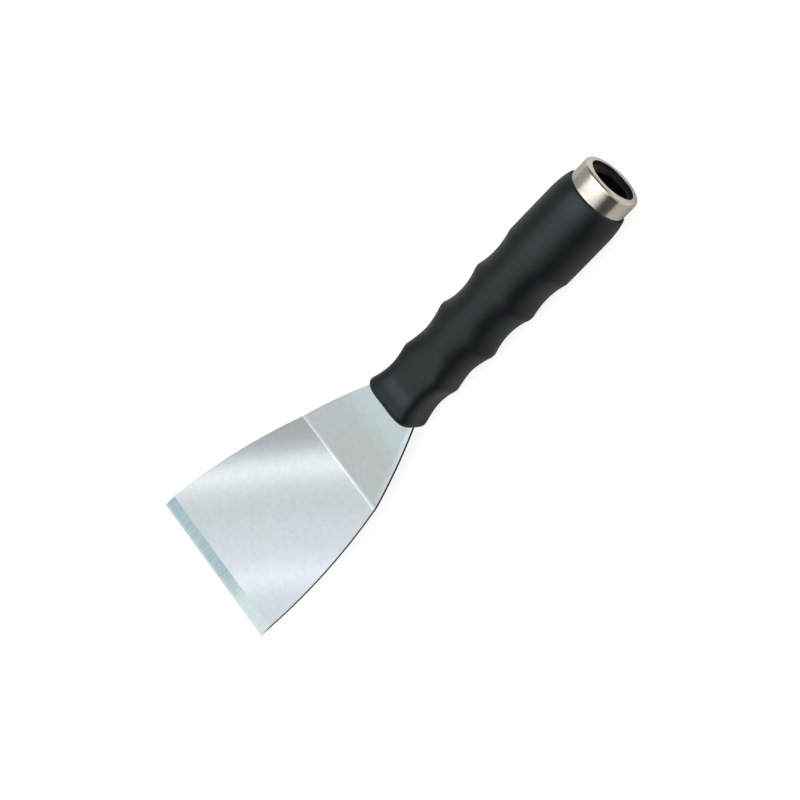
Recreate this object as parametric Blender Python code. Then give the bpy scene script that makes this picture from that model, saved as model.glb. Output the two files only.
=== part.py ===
"""Bent pole scraper: a cranked stainless scraping blade on a hollow rubber grip.

Every piece is drawn in the tool's own frame: the origin is the centre of the handle's mouth,
+Y runs along the handle's axis to the blade, +X lies across the blade and +Z is the side to
which the blade is bent. The empty tool_axis carries all of them, and sets the tool down with
its lowest point at Z = 0 and its length and width centred on the origin.
"""
import math

import bmesh
import bpy
from mathutils import Matrix

GAP = 0.0003                    # clearance left between two pieces that touch

# the stainless blade, measured along the plate from its scraping edge
BLADE_WIDTH = 0.0762            # 3 inches across the scraping edge
PLATE_THICKNESS = 0.0020
PLATE_OFFSET = -0.0006         # the middle of the neck lies this far from the handle's axis
EDGE_THICKNESS = 0.0002         # what the bevel leaves at the scraping edge
BEVEL_WIDTH = 0.0060
BLADE_LENGTH = 0.0752           # scraping edge to the crease
CREASE_STATION = 0.1839         # the crease's distance from the mouth
BEND_ANGLE = math.radians(17.0)
BEND_RADIUS = 0.0040            # on the hollow side of the crease
SIDE_RADIUS = 0.288             # the long arc of each side
SIDE_LEAN = 0.0089              # slope of the sides where they meet the scraping edge
SHOULDER_STATION = 0.1420       # where the neck steps in to the tang
TANG_HALF_WIDTH = 0.0080
TANG_END_STATION = 0.0580

# the rubber grip
GRIP_START = 0.0103
GRIP_END = 0.1453
GRIP_RADIUS = 0.01705           # its round stretch beside the ferrule
GRIP_START_RADIUS = 0.0154
GRIP_SHOULDER_END = 0.0230      # where the swelling after the ferrule is complete
GRIP_TAPER_START = 0.0450
GRIP_END_HALF_HEIGHT = 0.0109
GRIP_TAPER_POWER = 1.3
START_ROUNDING = 0.0005
END_ROUNDING = 0.0030
RIDGE_SOFTNESS = 0.0008
RIDGE_STATIONS = (0.0480, 0.0705, 0.0950, 0.1197, 0.1420)
RIDGE_HALF_WIDTHS = (0.0171, 0.0168, 0.01645, 0.0145, 0.0145)
HOLLOW_DEPTHS = (0.00175, 0.0025, 0.0018, 0.0021)
SQUARE_STATIONS = (0.1080, 0.1220, 0.1320)      # the section turns from an oval to a squarer shape
SQUARE_POWERS = (2.0, 3.2, 3.6)
FLARE_START = 0.1305            # the top and the underside rise again to the thumb stop
FLARE_END = 0.1385
FLARE_RISE = 0.0012

# the plated steel ferrule at the mouth
FERRULE_RADIUS = 0.0145
FERRULE_LENGTH = 0.0160
FERRULE_WALL = 0.0012
MOUTH_RADIUS = 0.0114
LIP_THICKNESS = 0.0013
LIP_ROUNDING = 0.0018
MOUTH_ROUNDING = 0.0003

# the moulded core under the rubber
CORE_START = LIP_THICKNESS + GAP
SPIGOT_RADIUS = FERRULE_RADIUS - FERRULE_WALL - GAP
SPIGOT_END = FERRULE_LENGTH + GAP
CORE_STATIONS = (SPIGOT_END, 0.0460, 0.0600, 0.1000, 0.1390)
CORE_HALF_WIDTHS = (0.0136, 0.0136, 0.0121, 0.0109, 0.0102)
CORE_HALF_HEIGHTS = (0.0136, 0.0136, 0.0132, 0.0114, 0.0082)
SOCKET_DEPTH = 0.0380           # the blind end of the bore that holds the threaded bush
SOCKET_RADIUS = 0.0113

# the threaded bush, cut for a 3/4 inch, 5 threads per inch extension pole
BUSH_LENGTH = 0.0345
BUSH_RADIUS = SOCKET_RADIUS - GAP
THREAD_PITCH = 0.0254 / 5
THREAD_MAJOR_RADIUS = 0.0097
THREAD_MINOR_RADIUS = 0.0072
LEAD_IN_RADIUS = 0.0103
LEAD_IN_DEPTH = 0.0015

# the two pins that hold the tang in the core
PIN_RADIUS = 0.0024
PIN_STATIONS = {"tang_pin_front": 0.1150, "tang_pin_rear": 0.0780}
PIN_HALF_LENGTHS = {"tang_pin_front": 0.0096, "tang_pin_rear": 0.0116}

ROUND_SEGMENTS = 40
THREAD_SEGMENTS = 24
PIN_SEGMENTS = 20

TOOL_LENGTH = CREASE_STATION + BLADE_LENGTH * math.cos(BEND_ANGLE)
TIP_REACH = PLATE_THICKNESS * math.sin(BEND_ANGLE)
HALF_LENGTH = (TOOL_LENGTH + TIP_REACH) / 2


# ---------------------------------------------------------------- general tools

def clear_scene():
    for old in list(bpy.data.objects):
        bpy.data.objects.remove(old, do_unlink=True)


def principled(name, colour, roughness, metallic=0.0):
    """A material with one Principled BSDF."""
    material = bpy.data.materials.new(name)
    material.use_nodes = True
    shader = material.node_tree.nodes["Principled BSDF"]
    shader.inputs["Base Color"].default_value = (*colour, 1.0)
    shader.inputs["Roughness"].default_value = roughness
    shader.inputs["Metallic"].default_value = metallic
    return material


def add_object(name, bm, material, axis):
    """Turn a bmesh into a smooth-shaded object on the tool's axis."""
    bmesh.ops.recalc_face_normals(bm, faces=bm.faces)
    mesh = bpy.data.meshes.new(name)
    bm.to_mesh(mesh)
    bm.free()
    mesh.shade_smooth()
    mesh.set_sharp_from_angle(angle=math.radians(30))
    if material:
        mesh.materials.append(material)
    made = bpy.data.objects.new(name, mesh)
    made.parent = axis
    bpy.context.scene.collection.objects.link(made)
    return made


def make_cutter(name, bm, axis):
    """A hidden solid that only cuts others."""
    cutter = add_object(name, bm, None, axis)
    cutter.hide_render = True
    cutter.display_type = "WIRE"
    return cutter


def cut(target, cutter):
    difference = target.modifiers.new("cut_by_" + cutter.name, "BOOLEAN")
    difference.operation = "DIFFERENCE"
    difference.solver = "EXACT"
    difference.object = cutter


def between(stations, values, station):
    """The value at a station, on straight lines between the given stations."""
    if station <= stations[0]:
        return values[0]
    for index in range(1, len(stations)):
        if station <= stations[index]:
            start, end = stations[index - 1], stations[index]
            share = (station - start) / (end - start)
            return values[index - 1] + share * (values[index] - values[index - 1])
    return values[-1]


def spread(start, end, count):
    """count + 1 evenly spaced values from start to end."""
    return [start + (end - start) * step / count for step in range(count + 1)]


def bridge_rings(bm, rings, closed):
    """Join rings of vertices one after another; closed also joins the last to the first."""
    count = len(rings[0])
    pairs = list(zip(rings, rings[1:]))
    if closed:
        pairs.append((rings[-1], rings[0]))
    for first, second in pairs:
        for index in range(count):
            after = (index + 1) % count
            bm.faces.new((first[index], first[after], second[after], second[index]))


def loft(rings):
    """A solid through rings of points, with a flat cap at each end."""
    bm = bmesh.new()
    made = [[bm.verts.new(point) for point in ring] for ring in rings]
    bridge_rings(bm, made, closed=False)
    bm.faces.new(made[0])
    bm.faces.new(made[-1])
    return bm


def round_ring(station, radius, segments=ROUND_SEGMENTS):
    turns = [2 * math.pi * step / segments for step in range(segments)]
    return [(radius * math.cos(turn), station, radius * math.sin(turn)) for turn in turns]


def turned_solid(outline, segments=ROUND_SEGMENTS):
    """A solid of (station, radius) pairs turned about the handle's axis, capped at both ends."""
    return loft([round_ring(station, radius, segments) for station, radius in outline])


def turned_ring(outline, segments=ROUND_SEGMENTS):
    """A closed (station, radius) outline turned about the handle's axis."""
    bm = bmesh.new()
    rings = []
    for station, radius in outline:
        rings.append([bm.verts.new(point) for point in round_ring(station, radius, segments)])
    bridge_rings(bm, rings, closed=True)
    return bm


def quarter_arc(centre_station, centre_radius, size, start, end, steps=4):
    """Points on an arc in the (station, radius) plane, between two angles in degrees."""
    points = []
    for angle in spread(math.radians(start), math.radians(end), steps):
        points.append((centre_station + size * math.cos(angle),
                       centre_radius + size * math.sin(angle)))
    return points


# ---------------------------------------------------------------- the blade

def side_half_width(distance):
    """The plate's half width at a distance from the scraping edge."""
    arc = SIDE_RADIUS - math.sqrt(SIDE_RADIUS ** 2 - distance ** 2)
    return BLADE_WIDTH / 2 - SIDE_LEAN * distance - arc


def plate_point(distance, depth):
    """(station, height) of a point of the bent plate.

    distance runs along the plate from the scraping edge, and depth is below the hollow face.
    """
    top = PLATE_OFFSET + PLATE_THICKNESS / 2
    along = BLADE_LENGTH - distance
    tangent = BEND_RADIUS * math.tan(BEND_ANGLE / 2)
    share = min(max((along + tangent) / (2 * tangent), 0.0), 1.0)
    turn = BEND_ANGLE * share
    station = CREASE_STATION - tangent + BEND_RADIUS * math.sin(turn)
    height = top + BEND_RADIUS * (1 - math.cos(turn))
    straight = max(along - tangent, 0.0) + min(along + tangent, 0.0)
    station += straight * math.cos(turn) + depth * math.sin(turn)
    height += straight * math.sin(turn) - depth * math.cos(turn)
    return station, height


def plate_outline():
    """(distance, half width) pairs from the scraping edge to the end of the tang."""
    tangent = BEND_RADIUS * math.tan(BEND_ANGLE / 2)
    shoulder = BLADE_LENGTH + CREASE_STATION - SHOULDER_STATION
    tang_end = BLADE_LENGTH + CREASE_STATION - TANG_END_STATION
    distances = [0.0]
    distances += spread(BEVEL_WIDTH, BLADE_LENGTH - tangent, 8)
    distances += spread(BLADE_LENGTH - tangent, BLADE_LENGTH + tangent, 4)[1:]
    distances += spread(BLADE_LENGTH + tangent, shoulder, 5)[1:]
    outline = [(distance, side_half_width(distance)) for distance in distances]
    step = side_half_width(shoulder) - TANG_HALF_WIDTH
    for turn in spread(0.0, math.pi / 2, 3)[1:]:
        outline.append((shoulder + step * 0.4 * (1 - math.cos(turn)),
                        TANG_HALF_WIDTH + step * (1 - math.sin(turn))))
    outline.append((tang_end - TANG_HALF_WIDTH / 2, TANG_HALF_WIDTH))
    outline.append((tang_end, TANG_HALF_WIDTH / 2))
    return outline


def plate_solid(outline, grow=0.0):
    """The plate through an outline, thicker and wider all round by grow."""
    rings = []
    for distance, half_width in outline:
        ground = 0.0
        if distance < BEVEL_WIDTH:
            ground = (PLATE_THICKNESS - EDGE_THICKNESS) * (1 - distance / BEVEL_WIDTH)
        top = plate_point(distance, ground - grow)
        bottom = plate_point(distance, PLATE_THICKNESS + grow)
        side = half_width + grow
        rings.append([(-side, *bottom), (side, *bottom), (side, *top), (-side, *top)])
    return loft(rings)


def pin_solid(station, radius, half_length):
    bm = bmesh.new()
    bmesh.ops.create_cone(bm, cap_ends=True, segments=PIN_SEGMENTS, radius1=radius,
                          radius2=radius, depth=2 * half_length,
                          matrix=Matrix.Translation((0.0, station, 0.0)))
    return bm


def make_blade(axis):
    steel = principled("stainless_steel", (0.78, 0.81, 0.83), 0.28, 1.0)
    blade = add_object("blade", plate_solid(plate_outline()), steel, axis)
    for name, station in PIN_STATIONS.items():
        hole = pin_solid(station, PIN_RADIUS + GAP, 2 * PLATE_THICKNESS)
        cut(blade, make_cutter("blade_hole_" + name, hole, axis))


# ---------------------------------------------------------------- the rubber grip

def hollow_half_width(station):
    """Half width of the grip at its finger hollows, whose ridges are sharp here."""
    if station <= RIDGE_STATIONS[0]:
        return RIDGE_HALF_WIDTHS[0] + (RIDGE_STATIONS[0] - station)
    if station >= RIDGE_STATIONS[-1]:
        return RIDGE_HALF_WIDTHS[-1]
    index = 0
    while station > RIDGE_STATIONS[index + 1]:
        index += 1
    start, end = RIDGE_STATIONS[index], RIDGE_STATIONS[index + 1]
    share = (station - start) / (end - start)
    straight = between(RIDGE_STATIONS, RIDGE_HALF_WIDTHS, station)
    return straight - HOLLOW_DEPTHS[index] * 4 * share * (1 - share)


def soft_half_width(station):
    """The same half width with its ridges rounded over."""
    nearby = (station - RIDGE_SOFTNESS, station, station + RIDGE_SOFTNESS)
    return sum(hollow_half_width(place) for place in nearby) / len(nearby)


def grip_half_width(station):
    if station < GRIP_SHOULDER_END:
        share = (GRIP_SHOULDER_END - station) / (GRIP_SHOULDER_END - GRIP_START)
        drop = 1 - math.sqrt(1 - 0.8 * share ** 2)
        full = 1 - math.sqrt(1 - 0.8)
        return GRIP_RADIUS - (GRIP_RADIUS - GRIP_START_RADIUS) * drop / full
    return min(GRIP_RADIUS, soft_half_width(station))


def grip_half_height(station):
    if station <= GRIP_TAPER_START:
        return grip_half_width(station)
    share = (station - GRIP_TAPER_START) / (GRIP_END - GRIP_TAPER_START)
    flare = min(max((station - FLARE_START) / (FLARE_END - FLARE_START), 0.0), 1.0)
    return (GRIP_RADIUS - (GRIP_RADIUS - GRIP_END_HALF_HEIGHT) * share ** GRIP_TAPER_POWER
            + FLARE_RISE * flare * flare * (3 - 2 * flare))


def rounding_inset(station):
    """How far the rounded ends of the grip draw its surface in."""
    into_start = START_ROUNDING - (station - GRIP_START)
    into_end = END_ROUNDING - (GRIP_END - station)
    for size, into in ((START_ROUNDING, into_start), (END_ROUNDING, into_end)):
        if into > 0:
            return size - math.sqrt(max(size ** 2 - into ** 2, 0.0))
    return 0.0


def grip_radius(station, turn):
    """Distance from the axis to the grip's surface in the direction turn from +X."""
    across = abs(math.cos(turn)) / grip_half_width(station)
    upright = abs(math.sin(turn)) / grip_half_height(station)
    power = between(SQUARE_STATIONS, SQUARE_POWERS, station)
    return 1 / (across ** power + upright ** power) ** (1 / power) - rounding_inset(station)


def grip_stations():
    """Where the grip's rings lie: close together at its ends and along its hollows."""
    stations = [GRIP_START + START_ROUNDING * (1 - math.cos(turn))
                for turn in spread(0.0, math.pi / 2, 3)]
    stations += spread(GRIP_START + START_ROUNDING, GRIP_SHOULDER_END, 4)[1:]
    stations += spread(GRIP_SHOULDER_END, GRIP_TAPER_START, 2)[1:]
    stations += spread(GRIP_TAPER_START, RIDGE_STATIONS[0], 1)[1:]
    for start, end in zip(RIDGE_STATIONS, RIDGE_STATIONS[1:-1]):
        stations += spread(start, end, 8)[1:]
    stations += spread(RIDGE_STATIONS[-2], GRIP_END - END_ROUNDING, 8)[1:]
    stations += [GRIP_END - END_ROUNDING * (1 - math.sin(turn))
                 for turn in spread(0.0, math.pi / 2, 5)[1:]]
    return stations


def grip_ring(station):
    points = []
    for step in range(ROUND_SEGMENTS):
        turn = 2 * math.pi * step / ROUND_SEGMENTS
        radius = grip_radius(station, turn)
        points.append((radius * math.cos(turn), station, radius * math.sin(turn)))
    return points


def grip_cavity():
    """The hollow inside the grip, which fits the ferrule's skirt and the core."""
    outside = 0.002
    skirt = FERRULE_RADIUS + GAP
    rings = [round_ring(GRIP_START - outside, skirt),
             round_ring(SPIGOT_END + GAP, skirt)]
    rings += [core_ring(station, GAP) for station in core_stations()]
    rings.append(core_ring(CORE_STATIONS[-1], GAP, CORE_STATIONS[-1] + GAP))
    return loft(rings)


def make_grip(axis):
    rubber = principled("black_rubber", (0.030, 0.034, 0.036), 0.45)
    grip = add_object("grip_sleeve", loft([grip_ring(place) for place in grip_stations()]),
                      rubber, axis)
    cut(grip, make_cutter("grip_cavity", grip_cavity(), axis))
    slot = plate_solid(plate_outline(), GAP)
    cut(grip, make_cutter("grip_slot", slot, axis))


# ---------------------------------------------------------------- the core

def core_stations():
    stations = [SPIGOT_END + 2 * GAP]
    for start, end, count in zip(CORE_STATIONS, CORE_STATIONS[1:], (1, 2, 4, 4)):
        stations += spread(start, end, count)[1:]
    return stations


def core_ring(station, grow=0.0, placed_at=None):
    """The core's oval section at a station, larger all round by grow."""
    wide = between(CORE_STATIONS, CORE_HALF_WIDTHS, station) + grow
    high = between(CORE_STATIONS, CORE_HALF_HEIGHTS, station) + grow
    place = station if placed_at is None else placed_at
    turns = [2 * math.pi * step / ROUND_SEGMENTS for step in range(ROUND_SEGMENTS)]
    return [(wide * math.cos(turn), place, high * math.sin(turn)) for turn in turns]


def tang_slot():
    """A flat slot a little larger than the tang, open at the core's front end."""
    bm = bmesh.new()
    half_width = TANG_HALF_WIDTH + GAP
    start, end = TANG_END_STATION - GAP, CORE_STATIONS[-1] + 0.002
    bmesh.ops.create_cube(bm, size=1.0)
    bmesh.ops.scale(bm, verts=bm.verts,
                    vec=(2 * half_width, end - start, PLATE_THICKNESS + 2 * GAP))
    bmesh.ops.translate(bm, verts=bm.verts, vec=(0.0, (start + end) / 2, PLATE_OFFSET))
    return bm


def make_core(axis):
    plastic = principled("moulded_core_plastic", (0.045, 0.045, 0.048), 0.55)
    rings = [round_ring(CORE_START, SPIGOT_RADIUS), round_ring(SPIGOT_END, SPIGOT_RADIUS)]
    rings += [core_ring(station) for station in core_stations()]
    core = add_object("handle_core", loft(rings), plastic, axis)
    bore = turned_solid([(CORE_START - 0.002, SOCKET_RADIUS), (SOCKET_DEPTH, SOCKET_RADIUS)])
    cut(core, make_cutter("core_bore", bore, axis))
    cut(core, make_cutter("core_slot", tang_slot(), axis))
    for name, station in PIN_STATIONS.items():
        hole = pin_solid(station, PIN_RADIUS + GAP, GRIP_RADIUS)
        cut(core, make_cutter("core_hole_" + name, hole, axis))


def make_tang_pins(axis):
    steel = principled("pin_steel", (0.55, 0.55, 0.56), 0.4, 1.0)
    for name, station in PIN_STATIONS.items():
        pin = pin_solid(station, PIN_RADIUS, PIN_HALF_LENGTHS[name])
        add_object(name, pin, steel, axis)


# ---------------------------------------------------------------- ferrule and threaded bush

def ferrule_outline():
    """The pressed cup's section: flat lip, rolled edge and a straight skirt."""
    inner = FERRULE_RADIUS - FERRULE_WALL
    outline = quarter_arc(MOUTH_ROUNDING, MOUTH_RADIUS + MOUTH_ROUNDING, MOUTH_ROUNDING,
                          270, 180, 3)
    outline += quarter_arc(LIP_ROUNDING, FERRULE_RADIUS - LIP_ROUNDING, LIP_ROUNDING, 180, 90)
    outline += [(FERRULE_LENGTH, FERRULE_RADIUS),
                (FERRULE_LENGTH, inner),
                (LIP_THICKNESS, inner),
                (LIP_THICKNESS, MOUTH_RADIUS)]
    return outline


def make_ferrule(axis):
    nickel = principled("nickel_plate", (0.66, 0.61, 0.55), 0.22, 1.0)
    add_object("end_ferrule", turned_ring(ferrule_outline()), nickel, axis)


def thread_section():
    """(share of a pitch, radius) of the corners of one turn of the trapezoidal thread."""
    return ((0.05, THREAD_MINOR_RADIUS), (0.40, THREAD_MINOR_RADIUS),
            (0.58, THREAD_MAJOR_RADIUS), (0.87, THREAD_MAJOR_RADIUS))


def threaded_rod(start, end):
    """A solid rod with a helical thread, longer than the bush that it cuts.

    Each column of vertices climbs a little more than the last, so that after one turn it lies
    one pitch further on and meets the first column.
    """
    bm = bmesh.new()
    section = thread_section()
    corners = len(section)
    turns = math.ceil((end - start) / THREAD_PITCH) + 1
    columns = []
    for step in range(THREAD_SEGMENTS):
        angle = 2 * math.pi * step / THREAD_SEGMENTS
        column = []
        for index in range(turns * corners + 1):
            share, radius = section[index % corners]
            pitches = index // corners + share + step / THREAD_SEGMENTS
            column.append(bm.verts.new((radius * math.cos(angle), start + pitches * THREAD_PITCH,
                                        radius * math.sin(angle))))
        columns.append(column)
    # the first column again, one pitch further on; it gains a last turn to close the rod
    tail = []
    for index in range(turns * corners + 1, (turns + 1) * corners + 1):
        share, radius = section[index % corners]
        pitches = index // corners + share
        tail.append(bm.verts.new((radius, start + pitches * THREAD_PITCH, 0.0)))
    seam = columns[0][corners:] + tail
    columns.append(seam)
    for first, second in zip(columns, columns[1:]):
        for index in range(turns * corners):
            bm.faces.new((first[index], first[index + 1], second[index + 1], second[index]))
    low = [column[0] for column in columns] + columns[0][corners - 1:0:-1]
    high = [column[-1] for column in columns] + tail[-2::-1]
    for loop, station in ((low, start - THREAD_PITCH), (high, end + 3 * THREAD_PITCH)):
        centre = bm.verts.new((0.0, station, 0.0))
        for index, vertex in enumerate(loop):
            bm.faces.new((vertex, loop[(index + 1) % len(loop)], centre))
    return bm


def make_bush(axis):
    nylon = principled("black_nylon", (0.020, 0.020, 0.026), 0.35)
    end = CORE_START + BUSH_LENGTH
    blank = turned_ring([(CORE_START, BUSH_RADIUS), (end, BUSH_RADIUS),
                         (end, THREAD_MINOR_RADIUS - GAP),
                         (CORE_START + LEAD_IN_DEPTH, THREAD_MINOR_RADIUS - GAP),
                         (CORE_START, LEAD_IN_RADIUS)])
    bush = add_object("threaded_bush", blank, nylon, axis)
    rod = threaded_rod(CORE_START - THREAD_PITCH, end + THREAD_PITCH)
    cut(bush, make_cutter("bush_thread", rod, axis))


def main():
    clear_scene()
    axis = bpy.data.objects.new("tool_axis", None)
    axis.location = (0.0, -HALF_LENGTH, GRIP_RADIUS)
    bpy.context.scene.collection.objects.link(axis)
    make_blade(axis)
    make_grip(axis)
    make_core(axis)
    make_tang_pins(axis)
    make_ferrule(axis)
    make_bush(axis)


main()
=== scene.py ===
"""The bent pole scraper's looks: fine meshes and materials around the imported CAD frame.

The pieces are drawn in the tool's own frame, as in the CAD: the origin is the centre of the
handle's mouth, +Y runs along the handle to the blade, +X lies across the blade, and +Z is the
side to which the blade is bent. MOUTH moves that origin into the row's frame.
"""
import math

import bmesh
import bpy
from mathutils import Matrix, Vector


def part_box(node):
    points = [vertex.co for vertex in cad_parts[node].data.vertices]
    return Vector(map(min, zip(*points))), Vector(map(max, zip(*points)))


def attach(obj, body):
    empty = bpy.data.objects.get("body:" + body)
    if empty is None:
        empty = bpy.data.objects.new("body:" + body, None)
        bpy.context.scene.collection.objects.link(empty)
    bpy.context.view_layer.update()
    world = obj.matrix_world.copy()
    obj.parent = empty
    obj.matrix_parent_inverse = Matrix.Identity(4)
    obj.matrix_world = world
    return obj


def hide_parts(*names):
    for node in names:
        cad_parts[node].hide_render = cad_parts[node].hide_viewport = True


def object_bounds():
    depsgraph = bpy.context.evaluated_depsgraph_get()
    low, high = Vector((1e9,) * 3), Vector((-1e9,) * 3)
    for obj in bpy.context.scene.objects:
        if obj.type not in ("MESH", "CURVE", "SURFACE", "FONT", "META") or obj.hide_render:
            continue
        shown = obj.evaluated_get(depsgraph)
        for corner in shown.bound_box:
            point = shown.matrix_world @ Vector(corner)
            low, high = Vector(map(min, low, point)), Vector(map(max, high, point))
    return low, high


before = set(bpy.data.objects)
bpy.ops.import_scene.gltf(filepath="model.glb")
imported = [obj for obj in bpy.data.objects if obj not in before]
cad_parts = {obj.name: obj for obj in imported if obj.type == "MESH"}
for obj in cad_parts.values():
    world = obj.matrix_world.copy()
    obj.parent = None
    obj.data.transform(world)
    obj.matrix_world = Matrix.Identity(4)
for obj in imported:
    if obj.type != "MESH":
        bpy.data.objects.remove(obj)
cad_low, cad_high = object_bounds()

# ---------------------------------------------------------------- sizes read from the frame

grip_low, grip_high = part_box("grip_sleeve")
ferrule_low, ferrule_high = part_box("end_ferrule")
bush_low, bush_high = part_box("threaded_bush")
blade_low, blade_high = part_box("blade")

GRIP_RADIUS = (grip_high.x - grip_low.x) / 2
MOUTH = Vector((0.0, ferrule_low.y, grip_low.z + GRIP_RADIUS))

# the blade's plate, measured along it from its scraping edge
BLADE_WIDTH = blade_high.x - blade_low.x
PLATE_THICKNESS = 0.0020
PLATE_OFFSET = -0.0006         # the middle of the neck lies this far from the handle's axis
EDGE_THICKNESS = 0.0002
BEVEL_WIDTH = 0.0060
BLADE_LENGTH = 0.0752
BEND_ANGLE = math.radians(17.0)
BEND_RADII = (0.0055, 0.0100)     # of the crease's hollow side, at its +X and -X ends
CREASE_STATION = (blade_high.y - MOUTH.y - PLATE_THICKNESS * math.sin(BEND_ANGLE)
                  - BLADE_LENGTH * math.cos(BEND_ANGLE))
SIDE_RADIUS = 0.288
SIDE_LEAN = 0.0089
NECK_END = 0.1400               # the fine plate stops inside the grip, where the tang begins
NECK_RISE = 0.0060              # the rolled margin deepens over this length above the crease
EDGE_ROLL = 0.0023              # width of the rolled-over margin of the neck
EDGE_ROLL_DEPTH = 0.00012
MARGIN_POINTS = (0.0023, 0.0020, 0.0014, 0.0008, 0.0003)    # across it, from the arris
# the paler tone on the neck's margin, set below, is a painted highlight on its -X side only
MARGIN_SHARE = 0.95             # of EDGE_ROLL, as far as the margin's paler tone reaches
ARRIS = 0.00015                 # the small radius on the plate's long edges
ARRIS_CORNER = 0.3              # how far in its middle point lies, as a share of the radius
ARRIS_LIMIT = 0.3               # the most it takes of the bevel's thickness
TOP_STEPS = 8                   # points across half the plate's face
BEVEL_STEPS = 6
BLADE_STEPS = 48
CREASE_STEPS = 24
NECK_STEPS = 30
SIDE_FACING = 0.9               # a face whose normal has at least this x is on a cut side
TOP_FACING = 0.5

# the blade's painted reflection: bands of painted highlight and painted shade, placed by x -
# BAND_SLANT * y; each level is the share of light it returns
BAND_SLANT = 0.68
BAND_START = -0.125
BAND_END = -0.005
PAINTED_REFLECTION_LEVELS = ((-0.110, 0.43), (-0.103, 0.46), (-0.095, 0.57), (-0.087, 0.47), (-0.078, 0.44),
               (-0.066, 0.41), (-0.057, 0.39), (-0.050, 0.41), (-0.044, 0.47), (-0.038, 0.57),
               (-0.032, 0.47), (-0.027, 0.35), (-0.021, 0.27), (-0.012, 0.26))
STEEL_COOL = (0.97, 1.0, 1.03)          # the sheet's tint at its -X side
STEEL_PLAIN = (0.99, 1.0, 0.99)         # and at its +X side
CREASE_BLUR = 0.0008                    # half the width over which the blade's tone ends
NECK_WARM = (0.505, 0.485, 0.463)
NECK_COOL = (0.492, 0.508, 0.503)
NECK_SPOT = (-0.003, -0.011)            # the warm patch's place, from the middle of the crease
NECK_SPOT_REACH = (0.003, 0.021)        # it fades between these distances
NECK_GRIP_TINT = (1.07, 1.16, 1.14)     # where the neck leaves the grip
NECK_GRIP_REACH = (0.008, 0.020)
# painted highlight: how much lighter the neck's -X margin is painted
MARGIN_HIGHLIGHT = 1.10
GROUND_BLUE = (0.365, 0.475, 0.495)
GROUND_PALE = (0.66, 0.71, 0.68)
GROUND_STREAK = (0.74, 0.84, 0.83)
GROUND_TURN = (-0.022, -0.004)          # the bevel goes from pale to blue between these x
HONED_STRIP = (0.0018, 0.0007)          # the pale strip's reach from the scraping edge
HONED_SHARE = 0.45

# the other finishes
RUBBER_DARK = (0.0024, 0.0043, 0.0059)
RUBBER_PALE = (0.0034, 0.0060, 0.0080)
RUBBER_GLOSS_TINT = (0.92, 1.0, 1.03)
RUBBER_SHEEN = 0.10
RUBBER_SHEEN_ROUGHNESS = 0.35
RUBBER_SHEEN_TINT = (0.70, 1.0, 1.0)
RUBBER_IOR = 1.50
NICKEL_DULL = (0.84, 0.740, 0.615)
NICKEL_BRIGHT = (0.95, 0.850, 0.715)
NYLON_GLOSS = 0.25

# the rubber grip
GRIP_START = grip_low.y - MOUTH.y
GRIP_END = grip_high.y - MOUTH.y
GRIP_START_RADIUS = 0.0154
GRIP_SHOULDER_END = 0.0230
GRIP_SHOULDER_ARC = 0.8         # how much of a quarter ellipse the shoulder follows
GRIP_TAPER_START = 0.0450
GRIP_END_HALF_HEIGHT = 0.0109
GRIP_TAPER_POWER = 1.3
START_ROUNDING = 0.0005
END_ROUNDING = 0.0030
RIDGE_SOFTNESS = 0.00096        # the ridges are the mean of the outline this far to each side
RIDGE_STATIONS = (0.0480, 0.0705, 0.0950, 0.1197, 0.1420)
RIDGE_HALF_WIDTHS = (0.0171, 0.0168, 0.01645, 0.0145, 0.0145)
HOLLOW_DEPTHS = (0.00175, 0.0025, 0.0018, 0.0021)
SQUARE_STATIONS = (0.1080, 0.1220, 0.1320)      # the section turns from an oval to a squarer shape
SQUARE_POWERS = (2.0, 3.2, 3.6)
FLARE_START = 0.1305            # the top and the underside rise again to the thumb stop
FLARE_END = 0.1385
FLARE_RISE = 0.0012
SLOT_GAP = 0.00012              # between the rubber and the neck
SLOT_OUTSIDE = 0.0040           # the cut for the neck starts this far outside the grip
SLOT_PAST_NECK = 0.0005         # and ends this far past the neck
SLOT_STEPS = 8
SHADOW_GAP = 0.00045            # between the rubber and the ferrule
RECESS_OUTSIDE = 0.0010         # the cut for the ferrule, outside and inside the grip
RECESS_DEPTH = 0.0120
GRIP_SEGMENTS = 128
GRIP_RING_STEP = 0.0010
GRIP_START_STEPS = 6
GRIP_END_STEPS = 12
RIDGE_STEPS = 6

# the ferrule
FERRULE_RADIUS = (ferrule_high.x - ferrule_low.x) / 2
FERRULE_LENGTH = ferrule_high.y - ferrule_low.y
FERRULE_WALL = 0.0012
MOUTH_RADIUS = 0.0114
LIP_THICKNESS = 0.0013
LIP_ROUNDING = 0.0018
MOUTH_ROUNDING = 0.0003
LIP_STEPS = 16
MOUTH_STEPS = 8
FERRULE_SEGMENTS = 160

# the threaded bush
BUSH_START = bush_low.y - MOUTH.y
BUSH_END = bush_high.y - MOUTH.y
BUSH_RADIUS = (bush_high.x - bush_low.x) / 2
THREAD_PITCH = 0.0254 / 5
THREAD_MAJOR_RADIUS = 0.0097
THREAD_MINOR_RADIUS = 0.0072
BUSH_OVERLAP = 0.00015          # the thread is cut this far past the bush's bore
LEAD_IN_RADIUS = 0.0103
LEAD_IN_DEPTH = 0.0015
THREAD_SEGMENTS = 96

# where faces meet at more than these angles, in degrees, the shading breaks
PLAIN_SHARP = 30
BLADE_SHARP = 8
GRIP_SHARP = 40
FERRULE_SHARP = 50
WELD_DISTANCE = 2e-6            # vertices closer than this are one vertex after a cut

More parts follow.
